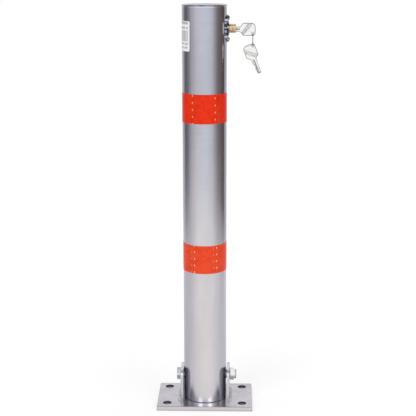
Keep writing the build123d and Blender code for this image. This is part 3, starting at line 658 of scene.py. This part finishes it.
def reflective_tape(node, name, first_glint, colours, columns):
    """Orange-red tape: sealed cells under a clear film, with painted glints in columns."""
    deep, light, glint = colours
    film = {"coat_weight": 0.6, "coat_ior": 1.3, "coat_roughness": 0.15}
    look = Finish(name, roughness=0.3, specular_ior_level=0.04, **film)
    angle, z = look.around_tube()
    below_top = look.calc("SUBTRACT", look.calc("SUBTRACT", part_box(node)[1].z, z), first_glint)
    cell = honeycomb(look, look.calc("MULTIPLY", angle, TUBE_R), z)
    border = look.remap(cell, *CELL_BORDER_FADE)
    mottle = look.noise(120.0)
    weave = look.noise(700.0, stretch=(1.0, 1.0, 0.05), detail=1.0)
    colour = look.tones(look.blend(mottle, weave, share=0.7), deep, light, spread=0.12)
    colour = look.lay(colour, glint, border, CELL_BORDER_SHARE)
    # Painted highlights: glint spots laid over the film's colour
    for column_angle, strength in columns:
        colour = look.lay(colour, glint, glint_spots(look, angle, below_top, column_angle), strength)
    look.feed("Base Color", colour)
    look.bump(border, depth=0.03 * MM, strength=0.35)
    return look.material


def print_row(look, along, up, low, high, pitch, kept_share, first_draw):
    """1 on the blocks of one row of the print, of which some are left out."""
    from_middle = look.calc("ABSOLUTE", look.calc("SUBTRACT", up, (low + high) / 2))
    in_row = look.calc("LESS_THAN", from_middle, (high - low) / 2)
    count = look.calc("DIVIDE", along, pitch)
    seed = look.calc("ADD", look.calc("FLOOR", count), first_draw)
    draw = look.add("ShaderNodeTexWhiteNoise", {"W": seed}, noise_dimensions="1D").outputs[0]
    kept = look.calc("LESS_THAN", draw, kept_share)
    block = look.calc("LESS_THAN", look.calc("FRACT", count), BLOCK_SHARE)
    return look.calc("MULTIPLY", in_row, look.calc("MULTIPLY", kept, block))


def sticker_paper():
    """White sticker with plain grey bars and rows of plain blocks."""
    look = Finish("sticker_paper", roughness=0.42, coat_weight=0.25, coat_roughness=0.2)
    angle, z = look.around_tube()
    across = look.calc("MULTIPLY", look.calc("SUBTRACT", angle, radians(LABEL_ANGLE)), TUBE_R)
    above_middle = look.calc("SUBTRACT", z, (LABEL_LOW.z + LABEL_HIGH.z) / 2)
    lean = radians(LABEL_SKEW)
    along = look.calc("ADD", across, look.calc("MULTIPLY", above_middle, lean))
    up = look.calc("SUBTRACT", above_middle, look.calc("MULTIPLY", across, lean))
    half_width = radians(LABEL_HALF_ANGLE) * TUBE_R - PRINT_MARGIN
    inside = look.calc("LESS_THAN", look.calc("ABSOLUTE", along), half_width)
    ink = 0.0
    for row in PRINT_ROWS:
        ink = look.calc("MAXIMUM", ink, print_row(look, along, up, *row))
    fibre = look.noise(900.0)
    paper = look.tones(fibre, "#f1f1f4", "#fafafc")
    look.feed("Base Color", look.lay(paper, "#8c8c94", look.calc("MULTIPLY", ink, inside), PRINT_STRENGTH))
    look.bump(fibre, depth=0.01 * MM, strength=0.3)
    return look.material


def dress_nodes():
    """Give each node of the frame its finish."""
    finishes = {
        polished_steel(): ("post_tube", "top_cap"),
        plate_steel(): ("base_plate",),
        ear_steel(): ("ear_left", "ear_right"),
        bolt_zinc(): ("pivot_bolt",),
        nut_zinc(): ("pivot_nut",),
        nylon(): ("nut_insert",),
        sticker_paper(): ("label_sticker",),
        chrome(): ("lock_housing", "housing_screws"),
        brass(): ("lock_barrel", "key_plug"),
        pin_metal(): ("retaining_pin", "key_pins", "driver_pins", "latch_bolt"),
        key_nickel(): ("key", "spare_key"),
        drawn_wire(): ("key_ring", "barrel_spring"),
        inner_steel(): (
            "pivot_sleeve", "rod_guide_upper", "rod_guide_lower", "lock_rod",
            "follower_pin", "cam_plate", "cam_rivet",
        ),
    }
    for node, design in TAPES.items():
        finishes[reflective_tape(node, *design)] = (node,)
    for material, names in finishes.items():
        for name in names:
            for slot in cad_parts[name].material_slots:
                slot.material = material


def bead_point(along, turn, outer_x, side, half_length):
    """Point of a weld bead: along its length, and from the plate up to the ear."""
    past_end = max(0.0, abs(along) - half_length + BEAD_LEG / 2) / (BEAD_LEG / 2)
    fade = sqrt(max(0.0, 1.0 - past_end * past_end))
    belly = sin(turn * pi)
    phase = along / BEAD_RIPPLE_PITCH + belly * BEAD_RIPPLE_LAG
    ripple = BEAD_RIPPLE * (1 - (phase % 1.0)) ** 2
    wander = sum(height * sin(along * rate + shift * side) for height, rate, shift in BEAD_WAVES)
    swell = ((2 * BEAD_BULGE + wander) * belly + ripple) / sqrt(2)
    out = (BEAD_LEG * (1 - turn) + swell) * fade - BEAD_SINK
    up = (BEAD_LEG * turn + swell) * fade - BEAD_SINK
    return Vector((outer_x + side * out, along, PLATE_HIGH.z + up))


def weld_bead(name, ear_name, side):
    """Rippled fillet weld along the outer foot of an ear, standing over the plain one."""
    low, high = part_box(ear_name)
    outer_x = high.x - PLAIN_BEAD_LEG if side > 0 else low.x + PLAIN_BEAD_LEG
    half_length = high.y - BEAD_END_GAP
    verts = []
    for i in range(BEAD_STEPS + 1):
        along = -half_length + 2 * half_length * i / BEAD_STEPS
        for j in range(BEAD_ARC_STEPS + 1):
            verts.append(bead_point(along, j / BEAD_ARC_STEPS, outer_x, side, half_length))
        verts.append(Vector((outer_x - side * BEAD_SINK, along, PLATE_HIGH.z - BEAD_SINK)))
    section = BEAD_ARC_STEPS + 2
    faces = []
    for i in range(BEAD_STEPS):
        for j in range(section):
            first = i * section + j
            second = i * section + (j + 1) % section
            quad = (first, second, second + section, first + section)
            faces.append(quad if side > 0 else quad[::-1])
    mesh = bpy.data.meshes.new(name)
    mesh.from_pydata(verts, [], faces)
    mesh.validate()
    mesh.polygons.foreach_set("use_smooth", [True] * len(mesh.polygons))
    return add_object(name, mesh)


def add_weld_beads():
    """Beads at both ears."""
    material = weld_steel()
    for name, ear_name, side in (("weld_bead_left", "ear_left", -1), ("weld_bead_right", "ear_right", 1)):
        bead = weld_bead(name, ear_name, side)
        bead.data.materials.append(material)
        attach(bead, "base")


def add_spring():
    """Barrel spring on its fixed end, a copy of the coil carried by the post."""
    coil = add_object("barrel_spring_coil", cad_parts["barrel_spring"].data.copy())
    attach(coil, "post")
    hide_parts("barrel_spring")
    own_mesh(coil)


def ring_colour(shading, angle, stops):
    """Colour around the horizon, from (degrees, colour) stops."""
    turn = shading.add("ShaderNodeMapRange", {"Value": angle, "From Min": -pi, "From Max": pi}).outputs[0]
    node = shading.add("ShaderNodeValToRGB", {"Fac": turn})
    elements = node.color_ramp.elements
    while len(elements) < len(stops):
        elements.new(0.5)
    for element, (degrees, code) in zip(elements, stops):
        element.position = (degrees + 180) / 360
        element.color = linear(code)
    return node.outputs[0]


def studio_colour(shading, angle, height):
    """Studio in one direction: a ring at the horizon, the floor below it, softboxes and a ceiling."""

    def fade(ends, value=height):
        """Smooth step of a value in radians between two angles in degrees."""
        return shading.remap(value, *(radians(end) for end in ends))

    upper = shading.scale(ring_colour(shading, angle, UPPER_RING), UPPER_LEVEL)
    lit_height = shading.calc("MULTIPLY", fade(SOFTBOX_LOW_FADE), fade(SOFTBOX_HIGH_FADE))
    for middle, colour in SOFTBOXES:
        sideways = shading.calc("ABSOLUTE", shading.calc("SUBTRACT", angle, radians(middle)))
        upper = shading.lay(upper, colour, fade(SOFTBOX_SIDE_FADE, sideways), lit_height)
    from_lean = shading.calc("ABSOLUTE", shading.calc("SUBTRACT", angle, radians(FLOOR_LEAN)))
    bowed = shading.calc("ADD", height, shading.calc("MULTIPLY", from_lean, radians(FLOOR_CURVE)))
    far_gain = FLOOR_LEVEL_FAR - FLOOR_LEVEL_NEAR
    level = shading.calc("MULTIPLY_ADD", fade(FLOOR_LEVEL_FADE), far_gain, FLOOR_LEVEL_NEAR)
    below = shading.scale(ring_colour(shading, angle, FLOOR_RING), level)
    shown = shading.mix(fade(FLOOR_FADE, bowed), ring_colour(shading, angle, STUDIO_RING), below)
    shown = shading.mix(fade(UPPER_FADE), shown, upper)
    shown = shading.mix(fade(CEILING_FADE), shown, CEILING_COLOUR)
    return shading.mix(fade(GROUND_FADE), shown, GROUND_COLOUR)


def add_world():
    """White to the camera, soft plain light on the object, and a studio for metal to show."""
    world = bpy.data.worlds.new("studio")
    bpy.context.scene.world = world
    world.use_nodes = True
    world.node_tree.nodes.clear()
    shading = Shading(world.node_tree)
    x, y, z = shading.split(shading.add("ShaderNodeTexCoord").outputs["Generated"])
    angle = shading.calc("ARCTAN2", x, shading.calc("MULTIPLY", y, -1.0))
    shown = studio_colour(shading, angle, shading.calc("ARCSINE", z))
    path = shading.add("ShaderNodeLightPath").outputs
    mirrored = shading.calc("MAXIMUM", path["Is Glossy Ray"], path["Is Transmission Ray"])
    lit = shading.mix(mirrored, AMBIENT_LIGHT, shown)
    seen = shading.mix(path["Is Camera Ray"], lit, WHITE)
    background = shading.add("ShaderNodeBackground", {"Color": seen, "Strength": 1.0})
    shading.add("ShaderNodeOutputWorld", {"Surface": background.outputs[0]})


def add_lamps():
    """Square soft lamps, aimed at the post and left out of reflections."""
    for name, place, aim_height, side, power in LAMPS:
        data = bpy.data.lights.new(name, "AREA")
        data.size = side
        data.energy = power
        lamp = add_object(name, data)
        lamp.location = place
        aim = Vector((0.0, 0.0, aim_height)) - Vector(place)
        lamp.rotation_euler = aim.to_track_quat("-Z", "Y").to_euler()
        lamp.visible_glossy = False


def pale_floor():
    """White to the camera, with a soft shadow near the plate, and painted shade under it."""
    material = bpy.data.materials.new("pale_floor")
    material.use_nodes = True
    material.node_tree.nodes.clear()
    shading = Shading(material.node_tree)
    place = shading.add("ShaderNodeTexCoord").outputs["Object"]
    x, y, _ = shading.split(place)
    across = shading.calc("LESS_THAN", shading.calc("ABSOLUTE", x), PLATE_HIGH.x)
    along = shading.calc("LESS_THAN", shading.calc("ABSOLUTE", y), PLATE_HIGH.y)
    under = shading.calc("MULTIPLY", across, along)
    away = shading.add("ShaderNodeVectorMath", {0: place}, operation="LENGTH").outputs["Value"]
    unshaded = shading.remap(away, *SHADOW_FADE, to_low=1 - SHADOW_SHARE)
    # Painted shade under the plate
    colour = shading.mix(under, FLOOR_COLOUR, PAINTED_SHADE_UNDER_PLATE)
    matt = shading.add("ShaderNodeBsdfDiffuse", {"Color": colour})
    glow = shading.add("ShaderNodeEmission", {"Color": WHITE, "Strength": FLOOR_GLOW})
    white = shading.calc("MULTIPLY", unshaded, shading.calc("SUBTRACT", 1.0, under))
    share = shading.calc("MULTIPLY", shading.add("ShaderNodeLightPath").outputs["Is Camera Ray"], white)
    mixed = shading.add("ShaderNodeMixShader", {0: share, 1: matt.outputs[0], 2: glow.outputs[0]})
    shading.add("ShaderNodeOutputMaterial", {"Surface": mixed.outputs[0]})
    return material


def add_floor():
    """Round floor just below the plate."""
    turns = [2 * pi * n / FLOOR_SIDES for n in range(FLOOR_SIDES)]
    rim = [(FLOOR_RADIUS * cos(turn), FLOOR_RADIUS * sin(turn), -FLOOR_DROP) for turn in turns]
    mesh = bpy.data.meshes.new("floor")
    mesh.from_pydata(rim, [], [tuple(range(FLOOR_SIDES))])
    mesh.materials.append(pale_floor())
    floor = add_object("floor", mesh)
    floor.visible_glossy = False


def add_camera():
    """Camera at the photograph's place and angle."""
    data = bpy.data.cameras.new("camera")
    data.sensor_width = SENSOR_WIDTH
    data.lens = FOCAL_PIXELS * SENSOR_WIDTH / FRAME_PIXELS
    data.clip_start = CAMERA_NEAR
    data.clip_end = CAMERA_FAR
    camera = add_object("camera", data)
    level = Vector((cos(CAMERA_YAW), -sin(CAMERA_YAW), 0.0))
    ahead = Vector((sin(CAMERA_YAW), cos(CAMERA_YAW), 0.0))
    forward = cos(CAMERA_PITCH) * ahead - sin(CAMERA_PITCH) * Vector((0.0, 0.0, 1.0))
    above = level.cross(forward)
    right = cos(CAMERA_ROLL) * level + sin(CAMERA_ROLL) * above
    up = -sin(CAMERA_ROLL) * level + cos(CAMERA_ROLL) * above
    turn = Matrix((right, up, -forward)).transposed().to_4x4()
    camera.matrix_world = Matrix.Translation(CAMERA_PLACE) @ turn
    bpy.context.scene.camera = camera


dress_nodes()
add_weld_beads()
add_spring()
add_world()
add_lamps()
add_floor()
add_camera()
bpy.context.scene.view_settings.view_transform = "Standard"
